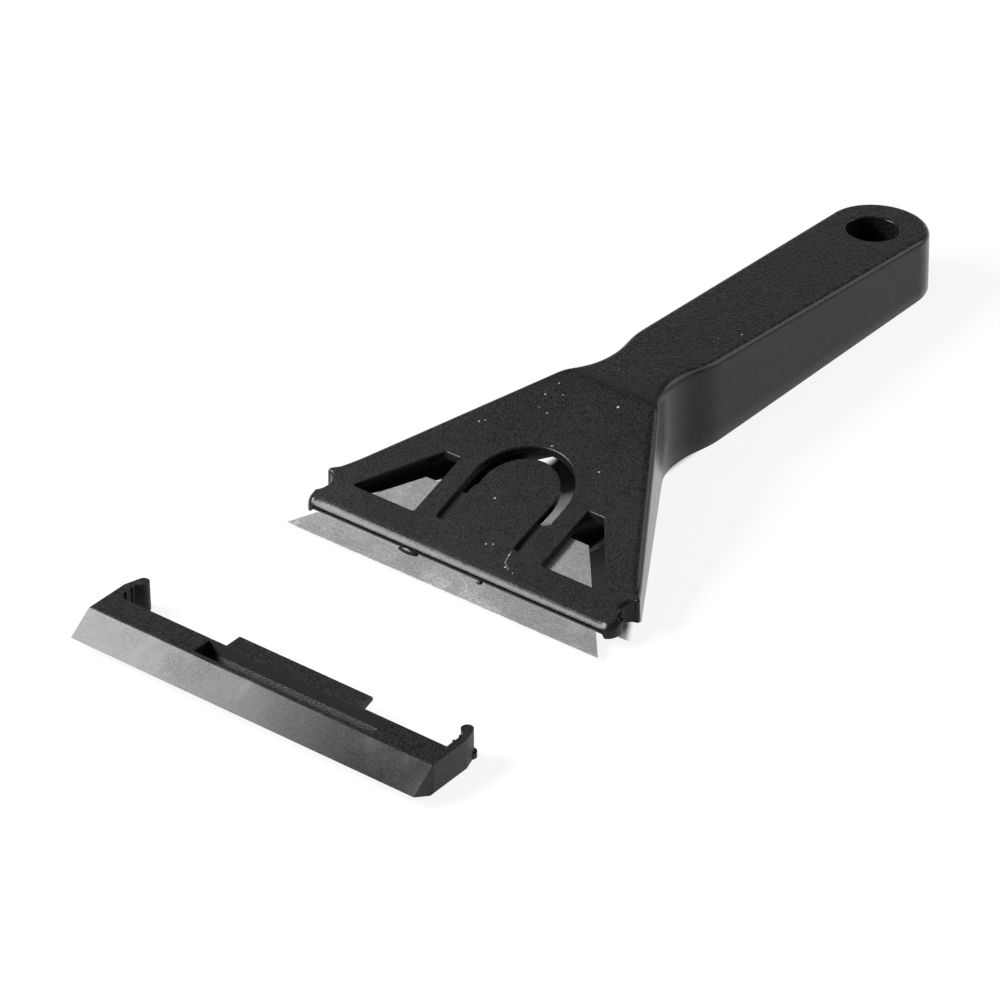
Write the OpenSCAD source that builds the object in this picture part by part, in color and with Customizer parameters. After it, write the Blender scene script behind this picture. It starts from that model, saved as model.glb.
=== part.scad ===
// Window scraper: a moulded holder with a trapezoid steel blade, a sprung tongue
// that presses on the blade, and a clip-on guard for the cutting edge.
// Before the last shift, X = 0 is the cutting edge, +X runs back along the handle,
// Y = 0 is the middle plane and Z = 0 is the surface that the holder lies on.

/* [Blade] */
// Width of the cutting edge
blade_w = 100; // [90:1:110]
// Width of the blade's back edge
blade_back_w = 52; // [44:1:60]
// Depth of the blade, from cutting edge to back edge
blade_depth = 29.4; // [26:0.2:31]
// Thickness of the blade
blade_t = 0.4; // [0.3:0.05:0.6]
// Length of the ground bevel on the blade's top
bevel_len = 1.5; // [0.8:0.1:3]
// Height of the cutting edge above the surface
edge_z = 0.8; // [0.8:0.05:1.2]

/* [Head] */
// Tilt of the head and the blade, in degrees
head_tilt = 18; // [16:0.5:20]
// Thickness of the plate over the blade
roof_t = 1.95; // [1.6:0.05:2.4]
// Distance from the cutting edge to the head's front lip
lip_x = 5.8; // [5:0.1:7]
// Length of the straight sides at the head's front corners
ear_len = 11.7; // [10.5:0.1:14]
// How far the head is set in from the blade's tips in front of the clip notches
ear_set_in = 0.7; // [0.5:0.1:1]
// Radius of the head's front corners, seen from above
corner_r = 3.5; // [3.2:0.1:4.5]
// Radius of the upright clip notch in each front corner
notch_r = 2.9; // [2.4:0.1:3.2]
// Height of the jaw's underside above the surface
toe_z = 2.4; // [1.6:0.1:2.6]
// Distance over which the side walls come down from the jaw to the surface
toe_run = 3; // [1:0.5:12]
// Depth of the groove along the front lip
groove_d = 1.4; // [0.8:0.1:1.8]
// Height of the groove along the front lip
groove_h = 0.45; // [0.3:0.05:0.6]

/* [Windows] */
// Distance from the cutting edge to the front of the windows
window_x = 15.5; // [14.5:0.1:17]
// Length of the windows, front to back
window_len = 19.4; // [15:0.2:22]
// Distance from the middle plane to each window's inner side
window_in_y = 20.5; // [20:0.1:22]
// Width of each window at the front
window_front_w = 20; // [14:0.2:20.4]
// Width of each window at the back
window_back_w = 5; // [3:0.2:6]

/* [Tongue] */
// Width of the tongue
tongue_w = 22; // [20:0.2:24]
// Distance from the cutting edge to the tongue's root
tongue_x = 16.6; // [15.5:0.1:18]
// Length of the tongue, from its root to its round end
tongue_len = 26.6; // [24:0.2:30]
// Width of the slot along the tongue's sides
slot_side = 3.4; // [2.4:0.1:3.8]
// Width of the slot round the tongue's end
slot_end = 4; // [2.5:0.1:5]
// Gap left at the tongue's root
root_gap = 0.15; // [0.1:0.05:0.3]

/* [Neck and handle] */
// Distance from the cutting edge to the bend between head and handle
bend_x = 71; // [66:0.5:76]
// Distance from the cutting edge to the narrowest part of the neck
neck_x = 86.5; // [84:0.5:92]
// Width of the neck at its underside
neck_w = 23.2; // [20:0.2:26]
// Distance from the narrowest part of the neck to the full grip
neck_run = 15.5; // [12:0.5:22]
// Width of the front of the grip at its underside
grip_w = 27.4; // [25:0.2:30]
// Width of the tail at its underside
tail_w = 29.8; // [28:0.2:34]
// Length from the cutting edge to the tail
overall_len = 209.1; // [190:0.1:230]
// Height of the grip over the hang hole
tail_h = 18.8; // [16:0.2:22]
// Side wall and rib foot draft, in degrees
draft = 1.4; // [0.5:0.1:2]
// Rounding of the head's top edge
head_round = 2.8; // [1:0.1:2.9]
// Rounding of the grip's top edge
grip_round = 1.7; // [0.6:0.1:2]

/* [Shell] */
// Thickness of the side walls
wall = 2.2; // [1.6:0.1:2.8]
// Thickness of the grip's top wall
grip_roof = 2.4; // [1.8:0.1:3]
// Thickness of the ribs
rib_t = 1.6; // [1:0.1:2]
// Distance between the ribs across the grip
rib_pitch = 16; // [10:1:24]
// How far the ribs stop short of the surface
rib_gap = 2; // [1:0.5:6]
// Thickness of the rails under the blade
rail_t = 1.6; // [1:0.1:2]
// Width of the rails under the blade
rail_w = 3; // [2:0.1:3.4]

/* [Hang hole] */
// Radius of the hang hole
hole_r = 7.4; // [4:0.1:8]
// Distance from the tail's end to the hole's centre
hole_from_tail = 17.2; // [15:0.1:22]
// Thickness of the tube round the hang hole
tube_t = 2.2; // [1.6:0.1:3]

/* [Guard] */
// How far the guard lies in front of its seat on the head
guard_off = 64.3; // [60:0.1:90]
// How far the guard lies to the left of the middle plane
guard_aside = 2.1; // [0:0.1:2.4]
// Distance from the back of the guard's body to the head's lip when it is seated
guard_gap = 1.2; // [1:0.1:4]
// Gap between the holder's widest part and the guard's clip arms
guard_side_gap = 2; // [1.6:0.1:2.6]
// Height of the guard
guard_h = 8.3; // [8:0.1:10]
// Distance from the guard's nose to the back of its body
guard_depth = 15.3; // [14.8:0.1:17]
// Distance from the nose to the front edge of the flat top
guard_slope_run = 7.1; // [5:0.1:7.4]
// Height of the nose above the surface
guard_nose_z = 3.1; // [2.6:0.1:4]
// Distance from the nose back to the flat underside
guard_chin_run = 6.2; // [4:0.1:7]
// Thickness of the guard's floor under the blade
guard_floor = 0.5; // [0.4:0.05:0.5]
// Height of the channel for the blade
channel_h = 4.2; // [4.2:0.1:4.6]
// Distance from the nose to the front of the channel
channel_front = 7.6; // [7:0.1:8.4]
// Distance from the guard's nose to where its clip arms start to taper
arm_straight = 20.2; // [19:0.1:21]
// Thickness of the clip arms
arm_t = 2.2; // [1.6:0.1:2.4]
// Radius of the round barb at each clip arm's tip
barb_r = 1.6; // [1.4:0.1:1.9]
// Height of the foot at each clip arm's tip
foot_h = 1.6; // [1:0.1:2.2]
// Width of the locating lug at the guard's back
lug_w = 41.6; // [30:0.2:50]
// Depth of the locating lug behind the guard's body
lug_depth = 5.5; // [4:0.1:6]
// Sideways shift of the locating lug from the middle plane
lug_shift = -4.2; // [-8:0.1:8]
// Width of the pocket in the guard's top, front to back
pocket_w = 5.9; // [4:0.1:6]
// Thickness of the sprung bar behind the pocket
bar_t = 0.8; // [0.7:0.1:1.2]
// How far the pocket runs past the locating lug at its left end
pocket_over_left = 4.8; // [1:0.1:6]
// How far the pocket runs past the locating lug at its right end
pocket_over_right = 9.6; // [1:0.1:10]

/* [Fits] */
// Clearance above and below the blade
blade_clear = 0.12; // [0.05:0.01:0.2]
// Clearance at the blade's sides and back edge
side_clear = 0.3; // [0.15:0.05:0.5]
// Clearance between the guard's clips and the head
clip_clear = 0.4; // [0.3:0.05:0.5]

// Clearance between the guard's lug and the head's top
lug_clear = 0.25; // [0.15:0.05:0.5]

/* [Hidden] */
eps = 0.01;
far = 300;
round_fn = 64;

slope = tan(head_tilt);
blade_half = blade_w / 2;
blade_flare = (blade_w - blade_back_w) / 2 / blade_depth;
roof_w = blade_t + blade_clear;
roof_z0 = edge_z + (roof_w + roof_t) / cos(head_tilt);
roof_under_z0 = edge_z + roof_w / cos(head_tilt);
ear_x = lip_x + ear_len;
notch_x = ear_x - notch_r - 0.9;
hole_x = overall_len - hole_from_tail;
bend_z = roof_z0 + slope * bend_x;
grip_fall = (bend_z - tail_h) / (hole_x - bend_x);
tail_half = tail_w / 2;
neck_half = neck_w / 2;
grip_half = grip_w / 2;
tail_x = overall_len - tail_half;
grip_x = neck_x + neck_run;
side_end_x = neck_x - 12.5;
side_end_y = neck_half + 3.5;
side_fall = (blade_half - side_end_y) / (side_end_x - ear_x);
jaw_back_x = lip_x + 7.4;
tongue_half = tongue_w / 2;
slot_half = tongue_half + slot_side;
slot_mid_x = tongue_x + tongue_len + slot_end - slot_half;
tongue_mid_x = tongue_x + tongue_len - tongue_half;
rail_y = window_in_y - 1 - rail_w;
seat_nose_x = lip_x - guard_gap - guard_depth;
nose_x = seat_nose_x - guard_off;
mid_x = (overall_len + nose_x) / 2;
arm_in = blade_half + guard_side_gap;
arm_out = arm_in + arm_t;
barb_y = blade_half - ear_set_in + clip_clear + barb_r;
barb_x = notch_x - seat_nose_x - 0.3;
lug_back = guard_depth + lug_depth;
lug_under = roof_z0 + slope * (seat_nose_x + lug_back) + lug_clear;
pocket_back = guard_depth - bar_t;
pocket_left = lug_shift + lug_w / 2 + pocket_over_left;
pocket_right = lug_shift - lug_w / 2 - pocket_over_right;

function unit(v) = v / norm(v);
function arc(c, r, a0, a1, n) = [for (i = [0:n]) let (a = a0 + (a1 - a0) * i / n) c + r * [cos(a), sin(a)]];
function curve(a, b, c, d, n) = [for (i = [1:n]) let (t = i / n)
    pow(1 - t, 3) * a + 3 * t * pow(1 - t, 2) * b + 3 * t * t * (1 - t) * c + t * t * t * d];

// Height of the outside of the top, lowered by one distance on the head and one on the grip:
// two planes that meet in a slightly rounded bend
function soft_min(a, b, k) = let (h = max(k - abs(a - b), 0) / k) min(a, b) - h * h * k / 4;
function top_z(x, head_drop, grip_drop) =
    soft_min(roof_z0 - head_drop + slope * x, bend_z - grip_drop - grip_fall * (x - bend_x), 0.6);

// Left half of the outline on the surface, from the front to the tail
function half_plan(front_x, r) = concat(
    arc([front_x + r, blade_half - r], r, 180, 90, 6),
    [for (i = [0:6]) let (x = ear_x + (side_end_x - ear_x) * i / 6) [x, blade_half - side_fall * (x - ear_x)]],
    curve([side_end_x, side_end_y], [side_end_x + 3.5, side_end_y - 3.5 * side_fall],
        [neck_x - 5.5, neck_half], [neck_x, neck_half], 10),
    curve([neck_x, neck_half], [neck_x + 0.4 * neck_run, neck_half],
        [grip_x - 0.45 * neck_run, grip_half - 0.2], [grip_x, grip_half], 10),
    [for (i = [1:5]) let (t = i / 6) [grip_x + (tail_x - grip_x) * t, grip_half + (tail_half - grip_half) * t]],
    arc([tail_x, 0], tail_half, 90, 4.5, 19));
function whole_plan(h) = concat(h, [for (i = [len(h) - 1:-1:0]) [h[i].x, -h[i].y]]);

// Inward direction at each point of the clockwise outline, long enough for a parallel offset
function inward(p) = let (n = len(p)) [for (i = [0:n - 1])
    let (a = unit(p[i] - p[(i + n - 1) % n]), b = unit(p[(i + 1) % n] - p[i]),
        na = [a.y, -a.x], nb = [b.y, -b.x])
    (na + nb) / (1 + na * nb)];

function edge_round(x, head_r, grip_r) =
    let (t = min(max((x - bend_x) / (grip_x - bend_x), 0), 1)) head_r + (grip_r - head_r) * t;

// A ring of the shell: the outline drawn in by the draft and by the edge's rounding at angle a
function ring(p, m, set_in, head_r, grip_r, head_drop, grip_drop, a) = [for (i = [0:len(p) - 1])
    let (r = edge_round(p[i].x, head_r, grip_r),
        z0 = top_z(p[i].x, head_drop, grip_drop),
        q = p[i] + m[i] * (set_in + z0 * tan(draft) + r * (1 - cos(a))))
    [q.x, q.y, top_z(q.x, head_drop, grip_drop) - r * (1 - sin(a))]];

// Closed shell solid: an outline at the bottom, its drafted walls, a rounded top edge and a top
// made of strips between the left and right points
module shell(front_x, r, set_in, head_r, grip_r, head_drop, grip_drop, bottom_z) {
    p = whole_plan(half_plan(front_x, r));
    m = inward(p);
    n = len(p);
    steps = 4;
    bottom = [for (i = [0:n - 1]) let (q = p[i] + m[i] * (set_in + bottom_z * tan(draft))) [q.x, q.y, bottom_z]];
    rings = concat([bottom], [for (k = [0:steps])
        ring(p, m, set_in, head_r, grip_r, head_drop, grip_drop, 90 * k / steps)]);
    top = len(rings) - 1;
    sides = [for (k = [0:top - 1], i = [0:n - 1]) let (j = (i + 1) % n)
        each [[k * n + i, k * n + j, (k + 1) * n + j], [k * n + i, (k + 1) * n + j, (k + 1) * n + i]]];
    lid = [for (i = [0:n / 2 - 2]) let (a = top * n + i, b = top * n + n - 1 - i)
        each [[a, a + 1, b - 1], [a, b - 1, b]]];
    floor = [for (i = [0:n / 2 - 2]) let (a = i, b = n - 1 - i) each [[a + 1, a, b], [b - 1, a + 1, b]]];
    polyhedron([for (k = [0:top]) each rings[k]], concat(sides, lid, floor));
}

// Frame of the blade: X back along it, Z up through it, origin under the cutting edge
module on_blade() translate([0, 0, edge_z]) rotate([0, -head_tilt, 0]) children();

module mirrored() {
    children();
    mirror([0, 1, 0]) children();
}

module blade_outline(c, front) polygon([
    [-front, -blade_half - c - blade_flare * front],
    [blade_depth + c, -blade_back_w / 2 - c + blade_flare * c],
    [blade_depth + c, blade_back_w / 2 + c - blade_flare * c],
    [-front, blade_half + c + blade_flare * front]]);

module blade_slot() on_blade() translate([0, 0, -blade_clear])
    linear_extrude(blade_t + 2 * blade_clear) blade_outline(side_clear, 12);

module tongue_outline(mid_x, half, root_x) {
    translate([mid_x, 0]) circle(half, $fn = 96);
    translate([root_x, -half]) square([mid_x - root_x, 2 * half]);
}

module windows() mirrored() translate([0, 0, edge_z + slope * window_x]) linear_extrude(far) polygon([
    [window_x, window_in_y],
    [window_x + window_len, window_in_y],
    [window_x + window_len, window_in_y + window_back_w],
    [window_x, window_in_y + window_front_w]]);

module clip_notches() mirrored() translate([notch_x, blade_half, -1]) cylinder(far, r = notch_r, $fn = round_fn);

// The front corners are drawn in ahead of the notches, so that the guard's barbs pass them
module corner_relief() mirrored()
    translate([-1, blade_half - ear_set_in, -1]) cube([notch_x + 1, far, far]);

// Space under the jaw, and the ramp down to the surface
module toe_space() rotate([90, 0, 0]) linear_extrude(far, center = true)
    polygon([[-far, -far], [-far, toe_z], [ear_x, toe_z], [ear_x + toe_run, 0], [far, 0], [far, -far]]);

// The lower jaw starts a little behind the front lip
module jaw_front_space() translate([-far, -far, -far])
    cube([far + lip_x + 1.6, 2 * far, far + edge_z + slope * (lip_x + 1.6)]);

module lip_groove() on_blade() translate([-far, -far, roof_w + 0.55])
    cube([far + (lip_x + groove_d) / cos(head_tilt) + (roof_w + 0.55) * slope, 2 * far, groove_h]);

module hang_tube() translate([hole_x, 0, rib_gap / 2]) cylinder(tail_h, r = hole_r + tube_t, $fn = 96);

module hang_hole() translate([hole_x, 0, -far / 2]) cylinder(far, r = hole_r, $fn = 96);

// Rails that carry the blade from below, with stops behind its back edge
module blade_rails() on_blade() mirrored() {
    translate([(jaw_back_x - 2) / cos(head_tilt), rail_y, -blade_clear - rail_t])
        cube([blade_depth + 2.4 - (jaw_back_x - 2) / cos(head_tilt), rail_w, rail_t]);
    translate([blade_depth + side_clear, rail_y, -blade_clear - rail_t])
        cube([2.1, rail_w, rail_t + blade_clear + roof_w + roof_t / 2]);
}

// Ribs along the head from the stops back into the neck
module head_ribs() mirrored() translate([(blade_depth + 1.2) * cos(head_tilt), rail_y + rail_w - rib_t, rib_gap])
    cube([side_end_x - blade_depth, rib_t, far]);

// Ribs across the grip, from the neck to the hang tube
module grip_ribs() {
    first = grip_x - 2;
    last = hole_x - hole_r - tube_t - 3;
    for (x = [first:rib_pitch:last]) translate([x, -far / 2, rib_gap]) cube([rib_t, far, far]);
}

module neck_rib() translate([neck_x - 16, -far / 2, rib_gap]) cube([rib_t, far, far]);

module outside() shell(lip_x, corner_r, 0, head_round, grip_round, 0, 0, 0);

module inside() shell(jaw_back_x - wall, corner_r + wall, wall, 0.6, 0.6,
    roof_t / cos(head_tilt), grip_roof, -1);

module holder() color([0.09, 0.09, 0.1]) difference() {
    union() {
        difference() {
            outside();
            inside();
        }
        intersection() {
            outside();
            union() {
                blade_rails();
                head_ribs();
                grip_ribs();
                neck_rib();
                hang_tube();
            }
        }
    }
    blade_slot();
    windows();
    translate([0, 0, edge_z + slope * tongue_x]) linear_extrude(far) tongue_outline(slot_mid_x, slot_half, tongue_x);
    clip_notches();
    corner_relief();
    toe_space();
    jaw_front_space();
    lip_groove();
    hang_hole();
}

// The tongue is cut out of the head's plate, and its root is the living hinge
module release_tongue() color([0.1, 0.1, 0.11]) intersection() {
    on_blade() translate([0, -far / 2, roof_w]) cube([far, far, roof_t]);
    linear_extrude(far) tongue_outline(tongue_mid_x, tongue_half, tongue_x + root_gap);
}

module blade() color([0.72, 0.72, 0.73]) on_blade() difference() {
    linear_extrude(blade_t) blade_outline(0, 0);
    rotate([0, -atan(blade_t / bevel_len), 0]) translate([-far / 2, -far / 2, 0]) cube([far, far, far / 2]);
}

// Draws a section given as front-to-back distance and height, across the guard from y0 to y1
module across(y0, y1) translate([0, y1, 0]) rotate([90, 0, 0]) linear_extrude(y1 - y0) children();

module guard_section() polygon([
    [0, guard_nose_z],
    [guard_slope_run, guard_h],
    [guard_depth, guard_h],
    [guard_depth, 0],
    [guard_chin_run, 0],
    [0, guard_nose_z - 0.01]]);

module guard_channel() across(-arm_in, arm_in) polygon([
    [channel_front + 1, guard_floor],
    [channel_front, guard_floor + channel_h / 2],
    [channel_front + 1, guard_floor + channel_h],
    [far, guard_floor + channel_h],
    [far, guard_floor]]);

// Clip arm with a tapered tip, a round barb and small grip ribs on its inner face
module clip_arm() {
    linear_extrude(guard_h) {
        polygon([
            [guard_depth - 1, arm_in],
            [guard_depth - 1, arm_out],
            [arm_straight, arm_out],
            [barb_x + barb_r * 0.4, barb_y + barb_r * 0.92],
            [barb_x - barb_r * 0.6, barb_y - barb_r * 0.8],
            [barb_x - barb_r - 1, arm_in]]);
        translate([barb_x, barb_y]) circle(barb_r, $fn = round_fn);
        for (x = [18.2, 20.7]) translate([x, arm_in]) circle(0.5, $fn = 24);
    }
    translate([barb_x + 0.6, barb_y + 0.5, 0]) cylinder(foot_h, r = barb_r, $fn = round_fn);
}

// The lug's underside slopes like the head's top, just clear of it
module guard_lug() across(lug_shift - lug_w / 2, lug_shift + lug_w / 2) polygon([
    [guard_depth - bar_t, guard_h],
    [lug_back - 0.5, guard_h],
    [lug_back, guard_h - 0.5],
    [lug_back, lug_under],
    [guard_depth - bar_t, lug_under - slope * (lug_depth + bar_t)]]);

module blade_guard() color([0.11, 0.11, 0.12]) translate([nose_x, guard_aside, 0]) {
    difference() {
        across(-arm_out, arm_out) guard_section();
        guard_channel();
        translate([pocket_back - pocket_w, pocket_right, guard_floor + channel_h - eps])
            cube([pocket_w, pocket_left - pocket_right, guard_h]);
    }
    mirrored() clip_arm();
    guard_lug();
}

module placed() translate([-mid_x, -guard_aside, 0]) children();

placed() holder();
placed() release_tongue();
placed() blade();
placed() blade_guard();
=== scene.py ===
"""Looks of the window scraper: moulded holder, sprung tongue, steel blade and clip-on guard.

Lengths in the shape functions are millimetres in the blade's frame: X = 0 at the cutting
edge, +X back along the handle, Y = 0 the holder's middle, Z = 0 the surface it lies on.
Skin.piece() turns them into the row frame's metres.
"""
import math

import bmesh
import bpy
import numpy as np
from bpy.props import FloatProperty, FloatVectorProperty, PointerProperty
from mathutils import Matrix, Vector
from mathutils.geometry import delaunay_2d_cdt


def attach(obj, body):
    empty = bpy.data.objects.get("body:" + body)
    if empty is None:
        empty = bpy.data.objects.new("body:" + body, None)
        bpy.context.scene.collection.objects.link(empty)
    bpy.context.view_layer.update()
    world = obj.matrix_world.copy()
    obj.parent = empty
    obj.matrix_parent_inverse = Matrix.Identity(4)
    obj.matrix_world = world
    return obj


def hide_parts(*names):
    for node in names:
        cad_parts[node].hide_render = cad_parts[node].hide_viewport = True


bl_info = {
    "name": "Window scraper",
    "version": (1, 0, 0),
    "blender": (4, 5, 0),
    "location": "View3D > Sidebar > Scraper",
    "description": "Builds the looks of a window scraper round its packed solids",
    "category": "Object",
}

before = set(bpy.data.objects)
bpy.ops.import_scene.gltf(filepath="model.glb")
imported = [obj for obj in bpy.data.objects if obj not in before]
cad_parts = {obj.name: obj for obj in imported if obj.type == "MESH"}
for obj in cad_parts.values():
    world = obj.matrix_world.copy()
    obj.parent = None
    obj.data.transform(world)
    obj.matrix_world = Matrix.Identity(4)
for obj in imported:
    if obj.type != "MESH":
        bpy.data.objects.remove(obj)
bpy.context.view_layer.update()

MM = 0.001
ORIGIN = np.array([67.05, 2.1, 0.0])

# Head, blade and jaw
TILT = math.radians(18)
SLOPE = math.tan(TILT)
EDGE_Z = 0.8
BLADE_T = 0.4
BLADE_CLEAR = 0.12
BLADE_HALF = 50.0
BLADE_DEPTH = 29.4
BLADE_FALL = 24.0 / BLADE_DEPTH
GROUND_DEPTH = 1.5
ROOF_T = 1.95
ROOF_Z0 = EDGE_Z + (BLADE_T + BLADE_CLEAR + ROOF_T) / math.cos(TILT)
HEAD_ROOF = ROOF_T / math.cos(TILT)
LIP_X = 5.8
EAR_HALF = 49.4
EAR_X = 17.5
EAR_ROUND = 3.4
NOTCH_CENTRE, NOTCH_RADIUS = (13.7, 50.0), 2.9
TOE_Z = 2.4
TOE_RUN = 3.0
JAW_FRONT, JAW_BACK = 7.4, 13.2

# Roundings at the clip notches and the front corners, and the groove below the lip: the angle at
# which it ends the rounding, in degrees, the bottom of the recessed band, then rows of the share
# of the side's height, the inset and the height
NOTCH_ROUND, CORNER_ROUND = 1.3, 1.9
GROOVE_TURN, BAND_Z = 38.0, 3.32
GROOVE = ((0.03, 0.5, 3.42), (0.2, 0.42, 3.7), (0.35, 0.55, 3.95), (0.5, 1.5, 3.98),
          (0.75, 1.5, 4.34))

# Windows and slot, in plan
WINDOW = ((15.5, 20.5), (34.9, 20.5), (34.9, 25.5), (15.5, 40.5))
SLOT_X = 16.6
SLOT_ROUND_X, SLOT_HALF, SLOT_LEFT_Y = 32.8, 14.4, 14.1
SLOT_RIGHT = ((SLOT_X, -12.7), (25.9, -12.7), (27.1, -SLOT_HALF))
ROOT_GAP = 0.03
TONGUE_ROUND_X, TONGUE_HALF = 32.2, 11
TONGUE_RIGHT = ((SLOT_X + ROOT_GAP, -10.7), (26, -10.75))
TONGUE_LEFT = ((29.6, 11.0), (29.2, 11.7), (SLOT_X + ROOT_GAP, 11.7))
TONGUE_ROOT_Y = (-11.6, 12.3)
OUTLINE_STEP, OUTLINE_BLUR, WINDOW_BLUR = 0.5, 0.14, 0.25

# Roundings: sharp edges at the tongue's root, and the others at windows, slot, tongue and hole
SHARP, WINDOW_ROUND, SLOT_ROUND, TONGUE_ROUND, HOLE_ROUND = 0.02, 0.3, 0.32, 0.35, 0.6
RIM_FLAT, RIM_BLUR = 0.25, 1.5

# Neck, grip and tail
BEND_X = 71.0
NECK_X, NECK_HALF, NECK_RUN = 86.5, 11.6, 15.5
GRIP_X = NECK_X + NECK_RUN
SIDE_END_X, SIDE_END_OUT = NECK_X - 12.5, 3.5
SIDE_PULL, NECK_PULL = 3.5, 5.5
SIDE_FALL = (BLADE_HALF - NECK_HALF - SIDE_END_OUT) / (SIDE_END_X - EAR_X)
GRIP_HALF, TAIL_HALF = 13.7, 14.9
TAIL_END = 209.1
TAIL_X = TAIL_END - TAIL_HALF
TAIL_H = 18.8
HOLE_X, HOLE_R, HOLE_POINTS = 191.9, 7.4, 96
TUBE_R, TUBE_BOTTOM = 9.6, 1.0
BEND_Z = ROOF_Z0 + SLOPE * BEND_X
GRIP_FALL = (BEND_Z - TAIL_H) / (HOLE_X - BEND_X)
GRIP_ROOF = 2.4
WALL = 2.2
INNER_FRONT = ((JAW_BACK, 0), (JAW_BACK, 41.8), (14.2, 44.0), (16.6, 45.6), (19.0, 46.2))
INNER_STEP, INNER_BLUR = 1.6, 0.5
DRAFT = math.tan(math.radians(1.4))
EASE_H = 0.6
BEND_GRID_XS, BEND_GRID_YS = np.arange(BEND_X - 2, BEND_X + 2.1, 0.5), np.arange(-12.5, 12.6, 1.25)
ROUND_ROWS = 12

# Underframe
RAIL_IN, RAIL_OUT, HEAD_RIB_IN = 16.5, 19.5, 17.9
RAIL_SECTIONS = ((11.8, 31.8, -1.72, -0.13), (29.7, 31.8, -1.72, 1.6))
HEAD_RIB_X, RIB_BOTTOM, RIB_T = (29.1, 60.5), 2.0, 1.6
NECK_RIB_X, NECK_RIB_HALF, GRIP_RIB_XS = 70.5, 13.0, np.arange(100, 179.3, 16)

# Flash on the lower lip: X, Y, half lengths along X and Y, height
FLASH_SPOTS = ((6.0, 14.7, 0.75, 3.2, 0.9), (5.9, -8.3, 0.5, 0.9, 0.5))

# Guard, and the section (X behind its nose, Z) and ends of the web below its bar
GUARD_NOSE_X, GUARD_ASIDE = -75.0, 2.1
WEB = ((14.55, 4.95), (15.2, 4.95), (14.0, 3.0), (13.2, 3.0))
WEB_ENDS = (27, -36)

# Marks, in plan: specks of dust with their radii, a hair on the head and one on the blade
DUST_SPOTS = (((66.1, -6.4), 0.42), ((66.2, 12.7), 0.25), ((61.6, 13.7), 0.3), ((56.6, 9.3), 0.25),
              ((47.8, 22.6), 0.25), ((46.8, 23.8), 0.3), ((48.2, 1.2), 0.28), ((46.4, -15.2), 0.33),
              ((27.9, 3.9), 0.33), ((14.9, -3.4), 0.3), ((15.6, -5.1), 0.25), ((14.6, -11.0), 0.3),
              ((11.0, -12.5), 0.3), ((117.1, -9.1), 0.35))
HEAD_HAIR = ((15.6, -10.8), (12.3, -11.5), (10.6, -13.8))
BLADE_HAIR = ((5.8, -1.2), (4.7, -4.6), (3.4, -6.3), (2.2, -6.6), (0.3, -5.6))
BLADE_HAIR_WIDTHS = (0.13, 0.14, 0.14, 0.13)

# Colours of dust, of patches and hair on the steel, of the painted sheen on the guard's slope and
# of the painted light on the face in its pocket
DUST = (0.42, 0.42, 0.41, 1)
STEEL_PATCH, STEEL_HAIR = (0.62, 0.62, 0.63, 1), (0.75, 0.75, 0.74, 1)
PAINTED_SHEEN, PAINTED_POCKET_LIGHT = (0.17, 0.17, 0.172, 1), (0.03, 0.03, 0.0306, 1)

# Where marks begin and end, in the row frame's metres: the grip and the blade's ground edge along
# X, the guard's slope and the face in its pocket (painted light) along X, the fading of the slope's
# painted sheen along Y
GRIP_START, GROUND_EDGE = (0.004, 0.012), (-0.06385, -0.0641)
GUARD_SLOPE, SHEEN_FADE = (-0.1342, -0.1352), (0.035, -0.045)
POCKET_FRONT, POCKET_BACK = (-0.1292, -0.1284), (-0.1272, -0.1276)

# Stage, in metres: lamps as name, place, target, size and share of the key light's power
LAMPS = (("key_light", (-0.45, 0.83, 0.80), (-0.04, 0.0, 0.0), 0.36, 1.0),
         ("lip_light", (-0.74, 0.62, 0.62), (-0.05, 0.0, 0.0), 0.42, 1.0),
         ("side_light", (0.86, -0.64, 0.6), (0.07, 0.0, 0.0), 0.8, 0.45))
CAMERA_PLACE, CAMERA_AWAY = (-0.864016, -0.641592, 0.685595), (-0.66357, -0.51625, 0.54144)
CAMERA_LENS, CAMERA_SENSOR = 176.32, 36.0
FLOOR_HALF, FLOOR_Z = 6.0, -0.0001

# The floor's dim patch below the hollow, in mm: its front, end and half widths, and a painted pool
# of light in it, where the floor glows white; how far the floor outside the spot is lifted to white
PATCH_FRONT, PATCH_END = (11, 12), (202, 199)
PATCH_HEAD_HALF, PATCH_GRIP_HALF = 47.0, 12.0
PAINTED_LIGHT_SPOT, PAINTED_LIGHT_RADIUS = (65.5, 20.5), 7.0
FLOOR_LIFT = 0.88

# Rise of a ray from which the surroundings turn from the dim ceiling to white
HORIZON = (0.18, 0.06)

# Shape functions

def top_z(x, head_drop=0.0, grip_drop=0.0):
    """Height of the top: the lower of the head's rising plane and the grip's falling one,
    eased into each other over a small difference of height."""
    head = ROOF_Z0 - head_drop + SLOPE * x
    grip = BEND_Z - grip_drop - GRIP_FALL * (x - BEND_X)
    ease = np.maximum(EASE_H - np.abs(head - grip), 0) / EASE_H
    return np.minimum(head, grip) - ease * ease * (EASE_H / 4)


def arc(centre, radius, start, end, count):
    """Points on a circle from one angle to another, in degrees."""
    a = np.radians(np.linspace(start, end, count))
    return np.stack([centre[0] + radius * np.cos(a), centre[1] + radius * np.sin(a)], 1)


def bezier(a, b, c, d, count=40):
    """Cubic curve with two end points and two handles, without its first point."""
    t = np.linspace(0, 1, count + 1)[1:, None]
    a, b, c, d = (np.array(p, float) for p in (a, b, c, d))
    return (1 - t) ** 3 * a + 3 * t * (1 - t) ** 2 * b + 3 * t * t * (1 - t) * c + t ** 3 * d


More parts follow.
